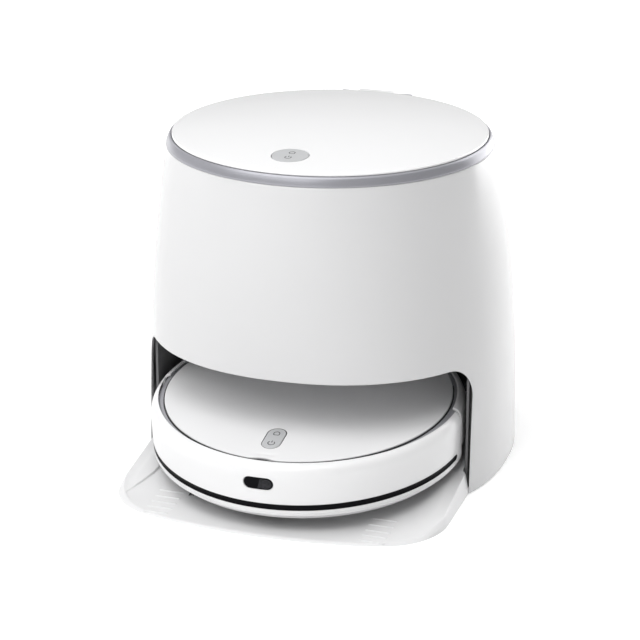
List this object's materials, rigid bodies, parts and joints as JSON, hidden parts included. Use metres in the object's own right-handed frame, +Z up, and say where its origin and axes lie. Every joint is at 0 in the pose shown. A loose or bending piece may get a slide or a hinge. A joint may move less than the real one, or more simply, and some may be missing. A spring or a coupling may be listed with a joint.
{
  "type": "robot vacuum",
  "caption": "Round robot vacuum and mop parked nose-out in a white mop-washing base station with a lidded water-tank compartment.",
  "frame": {"origin": "on the floor, under the centre of the whole object (station and tray)", "axes": "+X to the right, +Y to the back of the station, +Z up; the robot drives out towards -Y"},
  "size_m": [0.4046, 0.4804, 0.3815],
  "materials": {
    "shell_white": "gloss white, faint pearl",
    "lid_white": "gloss white",
    "trim_grey": "satin grey",
    "tray_white": "fine-grained white",
    "bay_grey": "dark grey, grained",
    "inner_plastic": "pale grey",
    "clear_tank": "tinted translucent",
    "waste_tank": "smoked",
    "handle_blue": "satin blue",
    "handle_grey": "satin grey",
    "button_grey": "satin light grey",
    "steel": "bright",
    "contact_metal": "gold flash",
    "board": "solder mask",
    "black_plastic": "black",
    "dark_plastic": "dark grey",
    "window_black": "infrared window",
    "robot_white": "gloss white",
    "ring_grey": "satin grey",
    "hub_grey": "grey",
    "tyre_rubber": "ribbed rubber",
    "foot_rubber": "soft rubber",
    "brush_fibre": "bristle and rubber blade",
    "mop_cloth": "microfibre",
    "filter_paper": "pleated",
    "battery_wrap": "shrink wrap"
  },
  "bodies": {
    "station": {"outer_shell": "shell_white", "rear_cover": "shell_white", "top_ring": "trim_grey", "bottom_plate": "inner_plastic", "base_tray": "tray_white", "wash_board": "inner_plastic", "bay_liner": "bay_grey", "tank_deck": "inner_plastic", "lid_hinge_pin": "steel", "water_pumps": "black_plastic", "hoses": "inner_plastic", "control_board": "board", "power_supply": "steel", "mains_inlet": "black_plastic", "station_feet": "foot_rubber", "station_screws": "steel"},
    "station_lid": {"lid": "lid_white", "lid_liner": "inner_plastic", "lid_board": "board"},
    "lid_button": {"lid_button": "button_grey"},
    "clean_tank": {"clean_tank": "clear_tank", "clean_tank_lid": "inner_plastic"},
    "clean_tank_handle": {"clean_tank_handle": "handle_blue"},
    "waste_tank": {"waste_tank": "waste_tank", "waste_tank_lid": "inner_plastic"},
    "waste_tank_handle": {"waste_tank_handle": "handle_grey"},
    "charge_contacts": {"charge_contacts": "contact_metal"},
    "wheel_axles": {"wheel_axles": "steel"},
    "robot": {"chassis": "inner_plastic", "chassis_wall": "dark_plastic", "body_shell": "robot_white", "deck_ring": "ring_grey", "robot_terminals": "contact_metal", "drive_modules": "dark_plastic", "side_brush_motor": "black_plastic", "brush_guard": "dark_plastic", "mop_gearbox": "black_plastic", "dust_bin": "inner_plastic", "bin_filter": "filter_paper", "battery": "battery_wrap", "fan_housing": "dark_plastic", "main_board": "board"},
    "top_cover": {"top_cover": "robot_white"},
    "power_button": {"power_button": "button_grey"},
    "bumper": {"bumper": "robot_white", "bumper_strip": "window_black", "sensor_window": "window_black"},
    "wheel_left": {"wheel_hub_left": "hub_grey", "tyre_left": "tyre_rubber"},
    "wheel_right": {"wheel_hub_right": "hub_grey", "tyre_right": "tyre_rubber"},
    "caster_fork": {"caster_fork": "dark_plastic"},
    "caster_wheel": {"caster_wheel": "hub_grey"},
    "side_brush": {"side_brush": "brush_fibre"},
    "main_brush": {"main_brush": "brush_fibre"},
    "mop_left": {"mop_disc_left": "dark_plastic", "mop_pad_left": "mop_cloth"},
    "mop_right": {"mop_disc_right": "dark_plastic", "mop_pad_right": "mop_cloth"},
    "fan_impeller": {"fan_impeller": "black_plastic"}
  },
  "joints": [
    {"name": "lid_hinge", "type": "hinge", "parent": "station", "child": "station_lid", "pos_m": [0, 0.1965, 0.3649], "axis": [-1, 0, 0], "range_deg": [0, 95]},
    {"name": "lid_button_press", "type": "slide", "parent": "station_lid", "child": "lid_button", "axis": [0, 0.0752, -0.9972], "range_m": [0, 0.0012], "stiffness_N_per_m": 300},
    {"name": "clean_tank_lift", "type": "slide", "parent": "station", "child": "clean_tank", "axis": [0, 0, 1], "range_m": [0, 0.035]},
    {"name": "clean_handle_fold", "type": "hinge", "parent": "clean_tank", "child": "clean_tank_handle", "pos_m": [-0.124, 0.016, 0.311], "axis": [0, -1, 0], "range_deg": [0, 90]},
    {"name": "waste_tank_lift", "type": "slide", "parent": "station", "child": "waste_tank", "axis": [0, 0, 1], "range_m": [0, 0.035]},
    {"name": "waste_handle_fold", "type": "hinge", "parent": "waste_tank", "child": "waste_tank_handle", "pos_m": [0.124, 0.016, 0.311], "axis": [0, 1, 0], "range_deg": [0, 90]},
    {"name": "charge_contact_press", "type": "slide", "parent": "station", "child": "charge_contacts", "axis": [0, 1, 0], "range_m": [0, 0.002], "stiffness_N_per_m": 300},
    {"name": "robot_drive_out", "type": "slide", "parent": "station", "child": "wheel_axles", "axis": [0, -0.9982, -0.0594], "range_m": [0, 0.38067]},
    {"name": "robot_level", "type": "hinge", "parent": "wheel_axles", "child": "robot", "pos_m": [0, -0.05221, 0.05494], "axis": [-1, 0, 0], "range_deg": [0, 5.72]},
    {"name": "top_cover_hinge", "type": "hinge", "parent": "robot", "child": "top_cover", "pos_m": [0, 0.09526, 0.10787], "axis": [-1, 0, 0], "range_deg": [0, 10]},
    {"name": "power_button_press", "type": "slide", "parent": "top_cover", "child": "power_button", "axis": [0, 0.0995, -0.995], "range_m": [0, 0.001], "stiffness_N_per_m": 300},
    {"name": "bumper_press", "type": "slide", "parent": "robot", "child": "bumper", "axis": [0, 0.995, 0.0995], "range_m": [0, 0.002], "stiffness_N_per_m": 400},
    {"name": "wheel_left_spin", "type": "hinge", "parent": "robot", "child": "wheel_left", "pos_m": [-0.118, -0.05221, 0.05494], "axis": [1, 0, 0], "continuous": true},
    {"name": "wheel_right_spin", "type": "hinge", "parent": "robot", "child": "wheel_right", "pos_m": [0.118, -0.05221, 0.05494], "axis": [1, 0, 0], "continuous": true},
    {"name": "caster_swivel", "type": "hinge", "parent": "robot", "child": "caster_fork", "pos_m": [0, -0.18833, 0.03932], "axis": [0, -0.0995, 0.995], "continuous": true},
    {"name": "caster_roll", "type": "hinge", "parent": "caster_fork", "child": "caster_wheel", "pos_m": [0, -0.18047, 0.02101], "axis": [1, 0, 0], "continuous": true},
    {"name": "side_brush_spin", "type": "hinge", "parent": "robot", "child": "side_brush", "pos_m": [-0.1, -0.1543, 0.02061], "axis": [0, -0.0995, 0.995], "continuous": true},
    {"name": "main_brush_spin", "type": "hinge", "parent": "robot", "child": "main_brush", "pos_m": [0, -0.11743, 0.03385], "axis": [1, 0, 0], "continuous": true},
    {"name": "mop_left_spin", "type": "hinge", "parent": "robot", "child": "mop_left", "pos_m": [-0.067, 0.04113, 0.03613], "axis": [0, -0.0995, 0.995], "continuous": true},
    {"name": "mop_right_spin", "type": "hinge", "parent": "robot", "child": "mop_right", "pos_m": [0.067, 0.04113, 0.03613], "axis": [0, -0.0995, 0.995], "continuous": true},
    {"name": "fan_spin", "type": "hinge", "parent": "robot", "child": "fan_impeller", "pos_m": [0, -0.00325, 0.05782], "axis": [0, -0.0995, 0.995], "continuous": true}
  ],
  "couplings": [
    {"joint": "robot_level", "follows": "robot_drive_out", "rad_per_m": 0.2618},
    {"joint": "mop_right_spin", "follows": "mop_left_spin", "ratio": -1}
  ]
}
